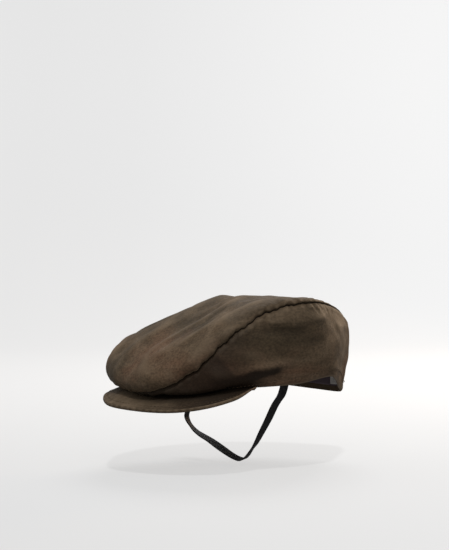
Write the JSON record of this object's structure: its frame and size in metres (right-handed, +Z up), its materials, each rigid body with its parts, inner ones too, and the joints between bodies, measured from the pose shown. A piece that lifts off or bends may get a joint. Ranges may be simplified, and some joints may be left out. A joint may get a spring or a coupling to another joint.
{
  "type": "flat cap",
  "caption": "Soft flat cap of waxed cotton with a full top panel over two side panels, a short stiff peak and a black elastic chin strap.",
  "frame": {"origin": "middle of the head opening, at the height of its rim", "axes": "+Z up out of the crown, the peak points along -Y, +X is the wearer's left"},
  "size_m": [0.1852, 0.2556, 0.1584],
  "materials": {
    "waxed_cloth": "waxed dark olive-brown cotton",
    "lining": "dark purple-grey cotton sweatband",
    "tab": "plain light grey woven tape",
    "elastic": "black ribbed elastic"
  },
  "bodies": {
    "root": {"top_panel": "waxed_cloth", "side_left": "waxed_cloth", "side_right": "waxed_cloth", "peak": "waxed_cloth", "sweatband": "lining", "back_tab": "tab", "chin_strap": "elastic"}
  },
  "joints": []
}
